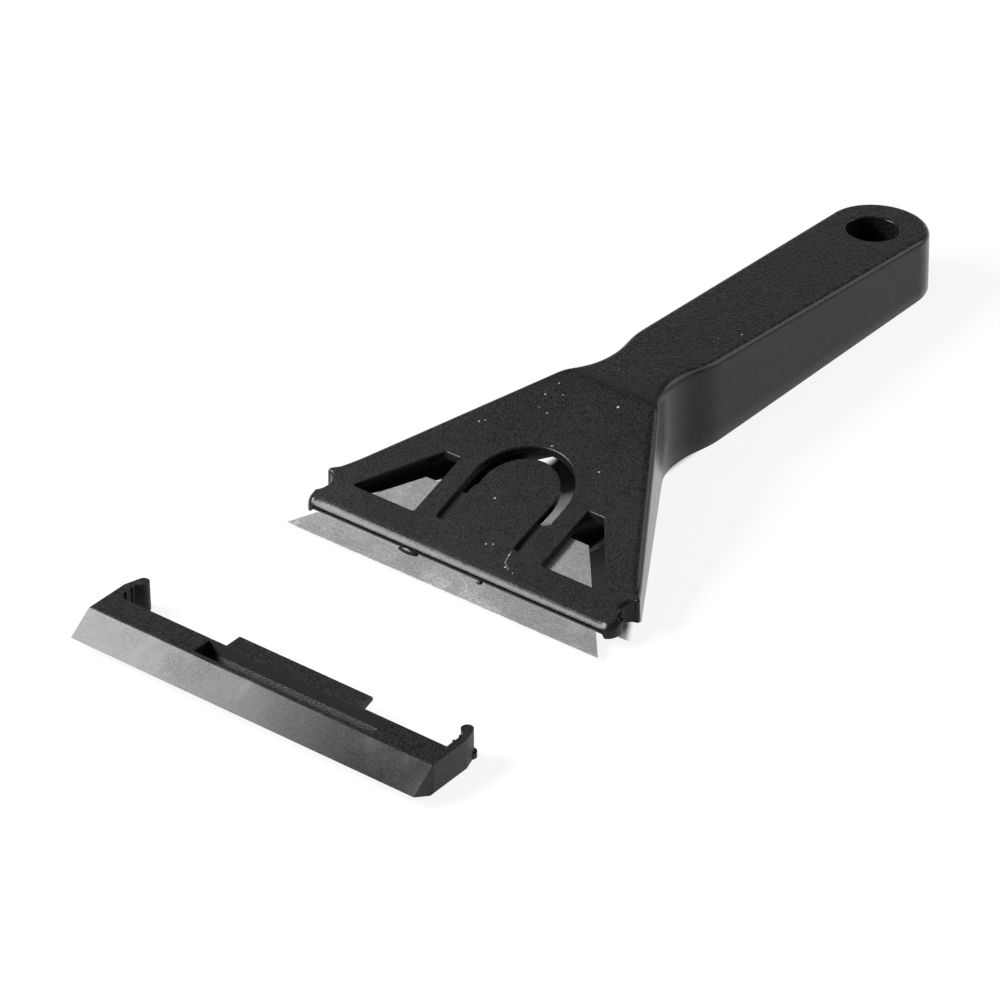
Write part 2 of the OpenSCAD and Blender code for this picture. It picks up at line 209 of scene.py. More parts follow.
def handle_side(inset):
    """Left side of neck, grip and tail as one line, drawn in by an inset, from the head's slanted
    side to the tail's tip: two cubics, a straight line and a half circle."""
    side_y = NECK_HALF + SIDE_END_OUT - inset
    neck, grip, tail = NECK_HALF - inset, GRIP_HALF - inset, TAIL_HALF - inset
    return np.concatenate([
        bezier((SIDE_END_X, side_y), (SIDE_END_X + SIDE_PULL, side_y - SIDE_PULL * SIDE_FALL),
               (NECK_X - NECK_PULL, neck), (NECK_X, neck)),
        bezier((NECK_X, neck), (NECK_X + 0.4 * NECK_RUN, neck),
               (GRIP_X - 0.45 * NECK_RUN, grip - 0.2), (GRIP_X, grip)),
        arc((TAIL_X, 0), tail, 90, 0, 60),
    ])


def closed(half):
    """Whole outline, anticlockwise from above, of a left half that runs from front to back."""
    return np.concatenate([half * (1, -1), half[::-1]])


def resampled(path, spacing, blur):
    """Closed path cut into equal fine steps, softened by a Gaussian of the given width in mm (as a
    product with its spectrum), then thinned to the spacing that a function of its points asks
    for. Returns the points and the inward unit normals."""
    step = 0.08
    loop = np.concatenate([path, path[:1]])
    run = np.concatenate([[0], np.cumsum(np.hypot(*np.diff(loop, axis=0).T))])
    count = int(run[-1] / step)
    s = np.linspace(0, run[-1], count, endpoint=False)
    fine = np.stack([np.interp(s, run, loop[:, i]) for i in (0, 1)], 1)
    fine = softened(fine, blur / (run[-1] / count))
    tangent = np.roll(fine, -1, 0) - np.roll(fine, 1, 0)
    tangent /= np.hypot(*tangent.T)[:, None]
    normal = np.stack([-tangent[:, 1], tangent[:, 0]], 1)
    weight = np.cumsum(1 / spacing(fine))
    wanted = np.linspace(0, weight[-1], max(int(weight[-1] * run[-1] / count), 12), endpoint=False)
    pick = np.unique(np.searchsorted(weight, wanted))
    return fine[pick], normal[pick]


def softened(values, width):
    """Values round a closed loop, blurred by a Gaussian whose width is given in samples."""
    freq = np.fft.fftfreq(len(values))
    keep = np.exp(-2 * (np.pi * freq * width) ** 2)
    if values.ndim > 1:
        keep = keep[:, None]
    return np.fft.ifft(np.fft.fft(values, axis=0) * keep, axis=0).real


def ramp(value, start, end):
    """0 before start, 1 after end, a smooth S between."""
    t = np.clip((value - start) / (end - start), 0, 1)
    return t * t * (3 - 2 * t)


# Closed meshes

class Skin:
    """Points and faces of one closed surface, put together from stacks of rings and flat fills."""

    def __init__(self):
        self.points, self.faces, self.count = [], [], 0

    def add_points(self, points):
        """Adds points and returns their numbers."""
        ids = self.count + np.arange(len(points))
        self.points.append(np.asarray(points, float))
        self.count += len(points)
        return ids

    def rings(self, stack):
        """Quads between neighbouring rings of a stack (rings, points, xyz); returns the point
        numbers. Anticlockwise rings stacked upwards, or inwards on top, face outwards."""
        stack = np.asarray(stack)
        ids = self.add_points(stack.reshape(-1, 3)).reshape(stack.shape[:2])
        low, high = ids[:-1], ids[1:]
        quads = np.stack([low, np.roll(low, -1, 1), np.roll(high, -1, 1), high], -1)
        self.faces += quads.reshape(-1, 4).tolist()
        return ids

    def fill(self, loops, up, extra=None):
        """Triangles between closed loops of known points, kept where a line from the triangle's
        middle crosses the loops an odd number of times."""
        ids = np.concatenate([np.asarray(l) for l in loops])
        if extra is not None and len(extra):
            ids = np.concatenate([ids, self.add_points(extra)])
        flat = np.concatenate(self.points)[ids, :2]
        edges, first = [], 0
        for loop in loops:
            i = first + np.arange(len(loop))
            edges.append(np.stack([i, np.roll(i, -1)], 1))
            first += len(loop)
        edges = np.concatenate(edges)
        made = delaunay_2d_cdt([Vector(p) for p in flat], edges.tolist(), [], 0, 1e-7, True)
        source = np.array([o[0] if o else -1 for o in made[3]])
        triangles = source[np.array(made[2])]
        if (triangles < 0).any():
            places = [tuple(made[0][i]) for i, o in enumerate(made[3]) if not o]
            raise ValueError(f"the outline of a flat fill crosses itself near {places[:6]}")
        middle = flat[triangles].mean(1)
        a, b = flat[edges[:, 0]], flat[edges[:, 1]]
        above = (a[None, :, 1] > middle[:, 1:]) != (b[None, :, 1] > middle[:, 1:])
        rise = np.where(a[:, 1] == b[:, 1], 1, b[:, 1] - a[:, 1])
        cross = a[None, :, 0] + (middle[:, 1:] - a[None, :, 1]) * ((b - a)[:, 0] / rise)[None]
        inside = (above & (cross > middle[:, :1])).sum(1) % 2 == 1
        triangles = ids[triangles[inside]]
        self.faces += (triangles if up else triangles[:, ::-1]).tolist()

    def slab(self, low, high):
        """Closed block between two stacked outlines of the same number of points."""
        ids = self.rings([low, high])
        self.faces.append(ids[0][::-1].tolist())
        self.faces.append(ids[1].tolist())

    def piece(self, name, body, slot, material, sharp=35.0):
        """Mesh object of the skin, in the row frame's metres, smooth up to an angle in degrees."""
        mesh = bpy.data.meshes.new(name)
        mesh.from_pydata(((np.concatenate(self.points) - ORIGIN) * MM).tolist(), [], self.faces)
        mesh.validate()
        mesh.polygons.foreach_set("use_smooth", np.ones(len(mesh.polygons), bool))
        mesh.set_sharp_from_angle(angle=math.radians(sharp))
        return dressed(bpy.data.objects.new(name, mesh), body, material)


def dressed(obj, body, material):
    """Links a piece, gives it its one material and its body."""
    bpy.context.scene.collection.objects.link(obj)
    obj.data.materials.clear()
    obj.data.materials.append(material)
    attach(obj, body)
    return obj


def lifted(path, z):
    """Points of a flat path at a height, or each at its own."""
    return np.stack([path[:, 0], path[:, 1], np.broadcast_to(z, len(path))], 1)


def rim_rings(path, normal, radius, bottom, rows=6):
    """Rings of a hole's rim, from a flat band on the top round a quarter circle and down the hole's
    wall: the path moved out of the hole by the radius times one minus the cosine."""
    stack = []
    for extra, a in [(RIM_FLAT, 90.0)] + [(0.0, v) for v in np.linspace(90, 0, rows)]:
        turn = math.radians(a)
        out = radius * (1 - math.cos(turn)) + extra
        ring = path - softened(normal, RIM_BLUR) * out[:, None]
        stack.append(lifted(ring, top_z(ring[:, 0]) - radius * (1 - math.sin(turn))))
    stack.append(lifted(path, bottom(path[:, 0])))
    return stack


def even(points):
    """The same spacing at every point of an outline."""
    return np.full(len(points), OUTLINE_STEP)


def window_path(side):
    """Outline of a window in the head, a quadrilateral that narrows to the back."""
    corners = np.array(WINDOW)
    if side < 0:
        corners = (corners * (1, -1))[::-1]
    return resampled(corners, even, WINDOW_BLUR)


def slot_path():
    """Outline of the slot round the tongue: two legs and a half circle, with the right leg drawn in
    at its front."""
    path = np.concatenate([
        SLOT_RIGHT,
        arc((SLOT_ROUND_X, 0), SLOT_HALF, -90, 90, 60),
        [(SLOT_X, SLOT_LEFT_Y)],
    ])
    return resampled(path, even, OUTLINE_BLUR)


def holder_outline():
    """Outline of the holder: lip, ears with clip notches, slanted sides, neck, grip and tail."""
    tip = arc((LIP_X + EAR_ROUND, EAR_HALF - EAR_ROUND), EAR_ROUND, 180, 90, 20)
    dip = math.degrees(math.asin((NOTCH_CENTRE[1] - EAR_HALF) / NOTCH_RADIUS))
    notch = arc(NOTCH_CENTRE, NOTCH_RADIUS, 180 + dip, 360, 40)
    return closed(np.concatenate([[(LIP_X, 0)], tip, notch, [(EAR_X, BLADE_HALF)], handle_side(0)]))


def holder_spacing(points):
    """Spacing along the holder's outline: finest at the ears, finer at the lip and the tail."""
    x, y = points[:, 0], np.abs(points[:, 1])
    return np.where((x < 20) & (y > 42), 0.3, np.where(x < 7, 0.9, np.where(x > 193, 0.7, 1.1)))


def toe(x):
    """Height of the lower rim: level in front, then down to 0 behind the ears."""
    return np.where(x > EAR_X, TOE_Z * (1 - np.clip((x - EAR_X) / TOE_RUN, 0, 1)), TOE_Z)


def holder_skin(lip_round, grip_round):
    """The holder's outside, top, hole rims, ceiling and inner wall as one closed surface.

    The outside carries a profile along the smoothed outline. Each point of the profile is the
    outline moved inwards by draft times height plus radius times one minus the cosine of the
    rounding's angle, at the top's height minus radius times one minus its sine. Across the
    front the profile is cut back into a groove with a recessed band below it."""
    skin = Skin()
    path, normal = resampled(holder_outline(), holder_spacing, 0.32)
    x, y = path[:, 0], np.abs(path[:, 1])
    near_notch = ramp(x, 9, 11) * (1 - ramp(x, 17.6, 23))
    radius = lip_round + (grip_round - lip_round) * ramp(x, BEND_X - 4, GRIP_X)
    radius = softened(radius + (NOTCH_ROUND - radius) * near_notch, 2.5)
    behind_notch = np.exp(-((x - 17.2) / 1.3) ** 2) * ramp(y, 44, 46)
    radius = radius * (1 - 0.55 * behind_notch)
    radius = radius + (CORNER_ROUND - radius) * ramp(y, 46, 48.6) * (1 - ramp(x, 10, 12))
    front = (1 - ramp(y, 46.2, 47.4)) * (1 - ramp(x, 6.3, 7.5))
    lean = softened(normal, 5.0)
    first = np.radians(GROOVE_TURN) * front
    bottom = toe(x) + (BAND_Z - toe(x)) * front
    height = top_z(x)
    edge_in = radius * (1 - np.cos(first)) + height * DRAFT
    edge_z = height - radius * (1 - np.sin(first))

    def ring(inset, z):
        """The outline moved inwards, at a height."""
        return lifted(path + lean * inset[:, None], z)

    def mixed(plain, cut):
        """The plain profile's value, or the groove's across the front."""
        return plain + (cut - plain) * front

    stack = [ring(mixed(bottom * DRAFT + 0.25, np.full(len(x), 0.75)), bottom)]
    for share, cut_in, cut_z in GROOVE:
        z = bottom + share * (edge_z - bottom)
        stack.append(ring(mixed(z * DRAFT, cut_in), mixed(z, cut_z)))
    stack.append(ring(mixed(edge_in, edge_in + 0.12), mixed(edge_z, edge_z - 0.03)))
    for row in range(ROUND_ROWS + 2):
        share = min(row / ROUND_ROWS, 1)
        turn = first + (np.pi / 2 - first) * share
        flat = (0.3 - 0.2 * behind_notch) * (row > ROUND_ROWS)
        at = path + lean * (radius * (1 - np.cos(turn)) + height * DRAFT + flat)[:, None]
        stack.append(lifted(at, top_z(at[:, 0]) - radius * (1 - np.sin(turn))))
    outside = skin.rings(stack)

    ceiling_loops, top_loops = [], []
    for side in (1, -1):
        rim, facing = window_path(side)
        ids = skin.rings(rim_rings(rim, facing, np.full(len(rim), WINDOW_ROUND), ceiling))
        top_loops.append(ids[0])
        ceiling_loops.append(ids[-1])
    rim, facing = slot_path()
    right, left = TONGUE_ROOT_Y
    root = (rim[:, 0] < SLOT_X + 0.35) & (rim[:, 1] < left) & (rim[:, 1] > right)
    ids = skin.rings(rim_rings(rim, facing, np.where(root, SHARP, SLOT_ROUND), ceiling))
    top_loops.append(ids[0])
    ceiling_loops.append(ids[-1])
    circle = arc((HOLE_X, 0), HOLE_R, 0, 360, HOLE_POINTS + 1)[:-1]
    facing = (np.array([HOLE_X, 0]) - circle) / HOLE_R
    stack = rim_rings(circle, facing, np.full(HOLE_POINTS, HOLE_ROUND), tube_bottom, 8)
    around = circle - facing * (TUBE_R - HOLE_R)
    stack += [lifted(around, TUBE_BOTTOM), lifted(around, ceiling(around[:, 0]))]
    ids = skin.rings(stack)
    top_loops.append(ids[0])
    ceiling_loops.append(ids[-1])

    gx, gy = (g.ravel() for g in np.meshgrid(BEND_GRID_XS, BEND_GRID_YS))
    skin.fill([outside[-1]] + top_loops, True, np.stack([gx, gy, top_z(gx)], 1))

    inner_half = np.concatenate([INNER_FRONT, handle_side(WALL + 0.25)])
    inner, _ = resampled(closed(inner_half), lambda p: np.full(len(p), INNER_STEP), INNER_BLUR)
    ix, iy = inner[:, 0], np.abs(inner[:, 1])
    over_blade = EDGE_Z + SLOPE * JAW_BACK + 0.58
    floor = toe(ix) + (over_blade - toe(ix)) * (1 - ramp(iy, 38.5, 39.5)) * (ix < JAW_BACK + 1)
    wall_ids = skin.rings([lifted(inner, ceiling(ix)), lifted(inner, floor)])
    skin.fill([wall_ids[0]] + ceiling_loops, False, np.stack([gx, gy * 0.75, ceiling(gx)], 1))
    skin.fill([outside[0], wall_ids[1]], False)
    return skin


def tube_bottom(x):
    """Height where the tube round the hang hole ends."""
    return np.full(len(x), TUBE_BOTTOM)


def ceiling(x):
    """Height of the underside of the roof."""
    return top_z(x, HEAD_ROOF, GRIP_ROOF)


def tongue_skin():
    """The sprung tongue: its outline at the underside, straight up, round a quarter circle and flat
    across the top. Only the root's edge stays sharp, because it is moulded on there."""
    skin = Skin()
    path = np.concatenate([
        TONGUE_RIGHT,
        arc((TONGUE_ROUND_X, 0), TONGUE_HALF, -90, 90, 60),
        TONGUE_LEFT])
    path, normal = resampled(path, even, OUTLINE_BLUR)
    x = path[:, 0]
    radius = np.where(x < SLOT_X + 0.4, SHARP, TONGUE_ROUND)
    stack = [lifted(path, top_z(x) - HEAD_ROOF + 0.02)]
    for share in (0.0, 0.2, 0.4, 0.6, 0.8, 1.0, 2.0):
        turn = min(share, 1) * math.pi / 2
        flat = RIM_FLAT if share > 1 else 0
        at = path + normal * (radius * (1 - math.cos(turn)) + flat)[:, None]
        stack.append(lifted(at, top_z(at[:, 0]) - radius * (1 - math.sin(turn))))
    ids = skin.rings(stack)
    skin.fill([ids[-1]], True)
    skin.fill([ids[0]], False)
    return skin


def tilted(u, w):
    """X and Z of points given by their way up the blade and their height over its underside."""
    return (u * math.cos(TILT) - w * math.sin(TILT),
            EDGE_Z + u * math.sin(TILT) + w * math.cos(TILT))


def blade_skin():
    """The blade: a section along its depth, flat on top and ground to the edge below, carried
    across with a half width that falls evenly to the back."""
    skin = Skin()
    depth = np.array([0, 0.12, 0.4, 0.8, GROUND_DEPTH, 6, 12, 18, 24,
                      BLADE_DEPTH - 0.1, BLADE_DEPTH])
    nick = 0.3 * np.clip(1 - depth / 0.5, 0, 1) ** 2
    half = BLADE_HALF - BLADE_FALL * depth - nick
    half[-1] -= 0.1
    back_round = np.where(depth > BLADE_DEPTH - 0.05, 0.06, 0)
    upper = BLADE_T - np.where(depth < 0.1, 0.02, 0) - back_round
    lower = BLADE_T * 0.96 * np.clip(1 - depth / GROUND_DEPTH, 0, 1) + back_round
    u = np.concatenate([depth, depth[::-1]])
    w = np.concatenate([upper, lower[::-1]])
    span = np.concatenate([half, half[::-1]])
    x, z = tilted(u, w)
    y = np.linspace(1, -1, 61)[:, None] * span
    grid = np.stack([np.broadcast_to(x, y.shape), y, np.broadcast_to(z, y.shape)], -1)
    ids = skin.rings(grid[::-1])
    skin.faces.append(ids[0][::-1].tolist())
    skin.faces.append(ids[-1].tolist())
    return skin


def wedge(skin, x0, x1, y0, y1, z0, top):
    """Block whose top follows a height function of X."""
    base = np.array([(x0, y0, z0), (x1, y0, z0), (x1, y1, z0), (x0, y1, z0)], float)
    lid = base.copy()
    lid[:, 2] = top(base[:, 0])
    skin.slab(base, lid)


def under_blade(x):
    """Height just below the blade's underside."""
    return EDGE_Z + SLOPE * x - 0.15


def into_roof(x):
    """Height inside the roof, where the ribs end."""
    return ceiling(x) + 0.6


def underframe_skin():
    """Jaw bar, rails with their stops and the stiffening ribs below the holder's roof, as blocks
    whose tops run into the ceiling."""
    skin = Skin()
    wedge(skin, JAW_FRONT, JAW_BACK, -48.2, 48.2, TOE_Z, under_blade)
    for side in (1, -1):
        y0, y1 = sorted((side * RAIL_IN, side * RAIL_OUT))
        for u0, u1, w0, w1 in RAIL_SECTIONS:
            x, z = tilted(np.array([u0, u1, u1, u0]), np.array([w0, w0, w1, w1]))
            skin.slab(np.stack([x, np.full(4, y1), z], 1), np.stack([x, np.full(4, y0), z], 1))
        y0, y1 = sorted((side * HEAD_RIB_IN, side * RAIL_OUT))
        wedge(skin, *HEAD_RIB_X, y0, y1, RIB_BOTTOM, into_roof)
    half = handle_side(WALL - 0.6)
    for x in np.concatenate([[NECK_RIB_X], GRIP_RIB_XS]):
        reach = np.interp(x, half[:, 0], half[:, 1]) if x > SIDE_END_X else NECK_RIB_HALF
        wedge(skin, x, x + RIB_T, -reach, reach, RIB_BOTTOM, into_roof)
    return skin


def flash_skin():
    """The parting flash on the lower lip: short flat lens shapes, round in plan, with a height that
    falls from the middle to the rim as one minus the square of the radius."""
    skin = Skin()
    turn = np.linspace(0, 2 * np.pi, 33)[:-1]
    for x, y, rx, ry, h in FLASH_SPOTS:
        z0 = EDGE_Z + SLOPE * x + BLADE_T / math.cos(TILT) + 0.02
        stack = []
        for r in (0.02, 1.0, 0.97, 0.85, 0.6, 0.3, 0.02):
            up = 0 if len(stack) < 2 else h * (1 - r * r)
            ring = np.stack([x + rx * r * np.cos(turn), y + ry * r * np.sin(turn)], 1)
            stack.append(lifted(ring, z0 + SLOPE * (ring[:, 0] - x) + up))
        ids = skin.rings(stack)
        skin.faces.append(ids[0][::-1].tolist())
        skin.faces.append(ids[-1].tolist())
    return skin


def carried_copy(node, name, body, material, width):
    """A merged copy of a CAD node whose edges get a small round from a Bevel modifier."""
    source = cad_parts[node]
    work = bmesh.new()
    work.from_mesh(source.data)
    bmesh.ops.remove_doubles(work, verts=work.verts, dist=2e-6)
    bmesh.ops.dissolve_limit(work, angle_limit=math.radians(0.5),
                             verts=work.verts, edges=work.edges)
    bmesh.ops.recalc_face_normals(work, faces=work.faces)
    mesh = bpy.data.meshes.new(name)
    work.to_mesh(mesh)
    work.free()
    mesh.polygons.foreach_set("use_smooth", np.ones(len(mesh.polygons), bool))
    mesh.set_sharp_from_angle(angle=math.radians(30))
    obj = bpy.data.objects.new(name, mesh)
    bevel = obj.modifiers.new("edge_round", "BEVEL")
    bevel.width = width
    bevel.segments = 3
    bevel.limit_method = "ANGLE"
    bevel.angle_limit = math.radians(28)
    bevel.use_clamp_overlap = True
    bevel.harden_normals = True
    return dressed(obj, body, material)


# Materials

class Wire:
    """A socket in a material's node tree. Sums, differences and products of wires and numbers
    add Math nodes."""

    def __init__(self, tree, socket):
        self.tree, self.socket = tree, socket

    def node(self, kind, settings=None, **inputs):
        """Adds a node of a type, sets its settings and then the values or links of its inputs
        (named by their label with underscores, or by number as in_0), and returns it."""
        made = self.tree.nodes.new(kind)
        for key, value in (settings or {}).items():
            setattr(made, key, value)
        for key, value in inputs.items():
            name = int(key[3:]) if key.startswith("in_") else key.replace("_", " ")
            target = made.inputs[name]
            if isinstance(value, Wire):
                self.tree.links.new(value.socket, target)
            else:
                target.default_value = value
        return made

    def out(self, kind, settings=None, output=0, **inputs):
        """Adds a node and returns a wire from one of its outputs."""
        return Wire(self.tree, self.node(kind, settings, **inputs).outputs[output])

    def math(self, operation, other=0.0, clamp=False, flip=False):
        """A Math node of the wire and another value, in this order or flipped."""
        a, b = (other, self) if flip else (self, other)
        return self.out("ShaderNodeMath", {"operation": operation, "use_clamp": clamp},
                        in_0=a, in_1=b)

    def __add__(self, other): return self.math("ADD", other)
    def __radd__(self, other): return self.math("ADD", other)
    def __sub__(self, other): return self.math("SUBTRACT", other)
    def __rsub__(self, other): return self.math("SUBTRACT", other, flip=True)
    def __mul__(self, other): return self.math("MULTIPLY", other)
    def __rmul__(self, other): return self.math("MULTIPLY", other)

    def clipped(self):
        """The value kept between 0 and 1."""
        return self.math("ADD", 0.0, clamp=True)

    def between(self, low, high, start=0.0, end=1.0):
        """Moves smoothly from start to end as the value goes from low to high."""
        return self.out("ShaderNodeMapRange", {"interpolation_type": "SMOOTHSTEP"},
                        Value=self, From_Min=low, From_Max=high, To_Min=start, To_Max=end)


def new_material(name):
    """Empty material with a Principled shader; returns the material, the shader and a wire that
    carries the Object coordinates."""
    material = bpy.data.materials.new(name)
    material.use_nodes = True
    tree = material.node_tree
    tree.nodes.clear()
    output = tree.nodes.new("ShaderNodeOutputMaterial")
    shader = tree.nodes.new("ShaderNodeBsdfPrincipled")
    tree.links.new(shader.outputs[0], output.inputs[0])
    place = tree.nodes.new("ShaderNodeTexCoord")
    return material, shader, Wire(tree, place.outputs["Object"])


def feed(shader, **inputs):
    """Links wires to a shader's sockets, or sets plain values."""
    for key, value in inputs.items():
        socket = shader.inputs[key.replace("_", " ")]
        if isinstance(value, Wire):
            value.tree.links.new(value.socket, socket)
        else:
            socket.default_value = value


def noise(place, size_mm, detail=2.0, rough=0.5):
    """Noise whose features are about size_mm across."""
    return place.out("ShaderNodeTexNoise", Vector=place, Scale=1000 / size_mm, Detail=detail,
                     Roughness=rough)


def mixed_colour(factor, first, second):
    """Colour that goes from the first to the second as the factor goes from 0 to 1."""
    return factor.out("ShaderNodeMix", {"data_type": "RGBA"}, output=2,
                      in_0=factor, in_6=first, in_7=second)


def vector_maths(place, operation, output=0, **inputs):
    """A wire from a Vector Math node: output 0 is its vector and output 1 its value."""
    return place.out("ShaderNodeVectorMath", {"operation": operation}, output, **inputs)


def axis(vector, number):
    """A wire that carries one coordinate of a vector."""
    return vector.out("ShaderNodeSeparateXYZ", output=number, in_0=vector)


def in_frame(spot):
    """A spot of the blade's frame, in mm, as a point of the row frame in metres, at Z = 0."""
    return np.append((np.array(spot, float) - ORIGIN[:2]) * MM, 0)


def near_point(place, spot, radius_mm):
    """1 at a spot of the blade's frame, in mm, and 0 past a radius, seen along Z."""
    flat = vector_maths(place, "MULTIPLY", in_0=place, in_1=(1, 1, 0))
    gap = vector_maths(place, "DISTANCE", 1, in_0=flat, in_1=in_frame(spot).tolist())
    return gap.between(radius_mm * MM, radius_mm * MM * 0.45)


def near_line(place, start, end, width_mm):
    """1 on a straight line between two spots of the blade's frame, in mm, and 0 past a width, seen
    along Z: the distance to the nearest point of the line, from the clipped dot product."""
    a, way = in_frame(start), in_frame(end) - in_frame(start)
    flat = vector_maths(place, "MULTIPLY", in_0=place, in_1=(1, 1, 0))
    gap = vector_maths(place, "SUBTRACT", in_0=flat, in_1=a.tolist())
    along = vector_maths(place, "DOT_PRODUCT", 1, in_0=gap,
                         in_1=(way / np.dot(way, way)).tolist()).clipped()
    foot = vector_maths(place, "SCALE", in_0=way.tolist(), Scale=along)
    off = vector_maths(place, "DISTANCE", 1, in_0=gap, in_1=foot)
    return off.between(width_mm * MM, width_mm * MM * 0.4)


def facing_wire(place, number):
    """A wire that carries one coordinate of the surface's normal."""
    geometry = place.tree.nodes.new("ShaderNodeNewGeometry")
    return axis(Wire(place.tree, geometry.outputs["Normal"]), number)


def holder_plastic(settings):
    """Black polypropylene: a fine grain on faces that look up, a coarser one on the grip, smooth
    rounded edges and sides, faint cloudy marks, a few specks of dust and a hair."""
    material, shader, place = new_material("grained_plastic")
    up = facing_wire(place, 2).between(0.86, 0.945)
    grip = axis(place, 0).between(*GRIP_START)
    fine = noise(place, settings.grain_size, 3.0, 0.65)
    leather = noise(place, settings.grain_size * 1.6, 1.0, 0.5)
    coarse = noise(place, 3.2, 4.0, 0.6)
    cloud = noise(place, 22.0, 3.0, 0.55)
    speckle = ((fine - 0.5) * (0.8 - 0.4 * grip) + (leather - 0.5) * 1.1 * grip) \
        * (0.25 + 0.75 * up)
    dust = place.out("ShaderNodeTexVoronoi", {"feature": "F1"}, Vector=place, Scale=420.0)
    chance = noise(place, 5.0, 1.0)
    specks = dust.between(0.085, 0.05) * chance.between(0.66, 0.70) * up
    for spot, radius in DUST_SPOTS:
        specks = specks + near_point(place, spot, radius) * up
    for start, end in zip(HEAD_HAIR, HEAD_HAIR[1:]):
        specks = specks + 0.35 * near_line(place, start, end, 0.16) * up
    tone = (0.5 + (cloud - 0.5) * 0.7 + (coarse - 0.5) * 0.4 + speckle * 6.0
            - 0.12 * grip).clipped()
    base = mixed_colour(tone, (*settings.dark, 1), (*settings.pale, 1))
    dusty = mixed_colour(specks.clipped(), base, DUST)
    rough = (0.22 + 0.2 * up + 0.12 * (coarse - 0.5) + 0.15 * speckle).clipped()
    height = fine * (0.05 + 0.5 * up) + coarse * 0.2 + leather * 0.95 * grip * (0.15 + 0.85 * up)
    bump = place.out("ShaderNodeBump", Height=height, Strength=0.9, Distance=0.0003)
    feed(shader, Base_Color=dusty, Roughness=rough, Normal=bump, Specular_IOR_Level=0.21)
    return material


def steel(settings):
    """Rolled strip: fine streaks across the blade, a speckled grain, soft clouds, mottled light
    patches along the ground edge and one hair."""
    material, shader, place = new_material("rolled_steel")
    streak_place = place.out("ShaderNodeMapping", Vector=place, Scale=(1.0, 0.12, 1.0))
    streaks = noise(streak_place, 0.5, 3.0, 0.6)
    cloud = noise(place, 7.0, 4.0, 0.6)
    grain = noise(place, 0.45, 2.0, 0.7)
    edge = axis(place, 0).between(*GROUND_EDGE)
    tone = (0.5 + (streaks - 0.5) * 0.7 + (cloud - 0.5) * 0.5 + (grain - 0.5) * 2.2).clipped()
    base = mixed_colour(tone, (*settings.shade, 1), (*settings.shine, 1))
    patches = edge * cloud.between(0.46, 0.6) * grain.between(0.42, 0.62) * 0.7
    strip = mixed_colour(patches, base, STEEL_PATCH)
    hair = 0.0
    for start, end, width in zip(BLADE_HAIR, BLADE_HAIR[1:], BLADE_HAIR_WIDTHS):
        hair = hair + near_line(place, start, end, width)
    strip = mixed_colour(hair.clipped() * 0.7, strip, STEEL_HAIR)
    rough = (0.42 + 0.12 * (cloud - 0.5)).clipped()
    bump = place.out("ShaderNodeBump", Height=streaks + grain, Strength=0.35, Distance=0.00003)
    feed(shader, Base_Color=strip, Metallic=0.82, Roughness=rough, Normal=bump)
    return material


def guard_plastic(settings):
    """Satin black plastic with a paler colour painted on the sloped front as the key light's sheen,
    fading to the right end and mottled by cloudy flow marks, and painted light on the face in its
    pocket, which lies in shade."""
    material, shader, place = new_material("satin_plastic")
    x = axis(place, 0)
    fine = noise(place, 0.5, 3.0, 0.65)
    flow_place = place.out("ShaderNodeMapping", Vector=place, Scale=(0.35, 1.0, 1.0))
    flow = noise(flow_place, 6.0, 4.0, 0.6)
    cloud = noise(place, 15.0, 3.0, 0.6)
    slope = x.between(*GUARD_SLOPE)
    marks = (flow - 0.5) * 0.35 + (cloud - 0.5) * 0.6
    far_end = axis(place, 1).between(*SHEEN_FADE)
    # Painted light: the face at the back of the pocket, which lies in shade, is painted paler as
    # though lit like the top
    pocket_light_share = x.between(*POCKET_FRONT) * x.between(*POCKET_BACK) \
        * facing_wire(place, 0).between(-0.9, -0.96)
    tone = (0.5 + (flow - 0.5) * 0.7 * slope + (cloud - 0.5) * 0.6 + (fine - 0.5) * 4.0).clipped()
    base = mixed_colour(tone, (*settings.dark, 1), (*settings.pale, 1))
    # Painted sheen: the slope is painted paler as the key light's highlight, fading towards the
    # right end and mottled by the flow marks
    sheen_share = slope * (1 - far_end) * (0.6 + marks * 4.5 + (fine - 0.5) * 0.9)
    base = mixed_colour(sheen_share.clipped(), base, PAINTED_SHEEN)
    base = mixed_colour(pocket_light_share, base, PAINTED_POCKET_LIGHT)
    rough = (0.40 + (marks * (1 + 0.2 * far_end) - 0.06 + 0.3 * far_end) * slope).clipped()
    height = fine * (1 - 0.98 * slope) + flow * 0.05 * slope
    bump = place.out("ShaderNodeBump", Height=height, Strength=0.7, Distance=0.0002)
    feed(shader, Base_Color=base, Roughness=rough, Normal=bump, Specular_IOR_Level=0.2)
    return material


# Add-on

def colour(name, text, default):
    """A colour property."""
    return FloatVectorProperty(name=name, description=text, default=default, size=3,
                               subtype="COLOR", min=0, max=1)


class ScraperHolder(bpy.types.PropertyGroup):
    lip_round: FloatProperty(name="Lip round", description="Rounding of the head's top edge, in mm",
                             default=2.8, min=1.0, max=2.9)
    grip_round: FloatProperty(name="Grip round",
                              description="Rounding of the grip's top edge, in mm",
                              default=1.7, min=0.6, max=2.0)
    grain_size: FloatProperty(name="Grain size", description="Size of the plastic's grain, in mm",
                              default=0.48, min=0.1, max=2.0)
    dark: colour("Dark", "Darker tone of the holder's plastic", (0.001, 0.001, 0.00105))
    pale: colour("Pale", "Paler tone of the holder's plastic", (0.019, 0.019, 0.0196))


class ScraperBlade(bpy.types.PropertyGroup):
    shade: colour("Shade", "Darker tone of the steel", (0.24, 0.24, 0.243))
    shine: colour("Shine", "Paler tone of the steel", (0.52, 0.52, 0.524))


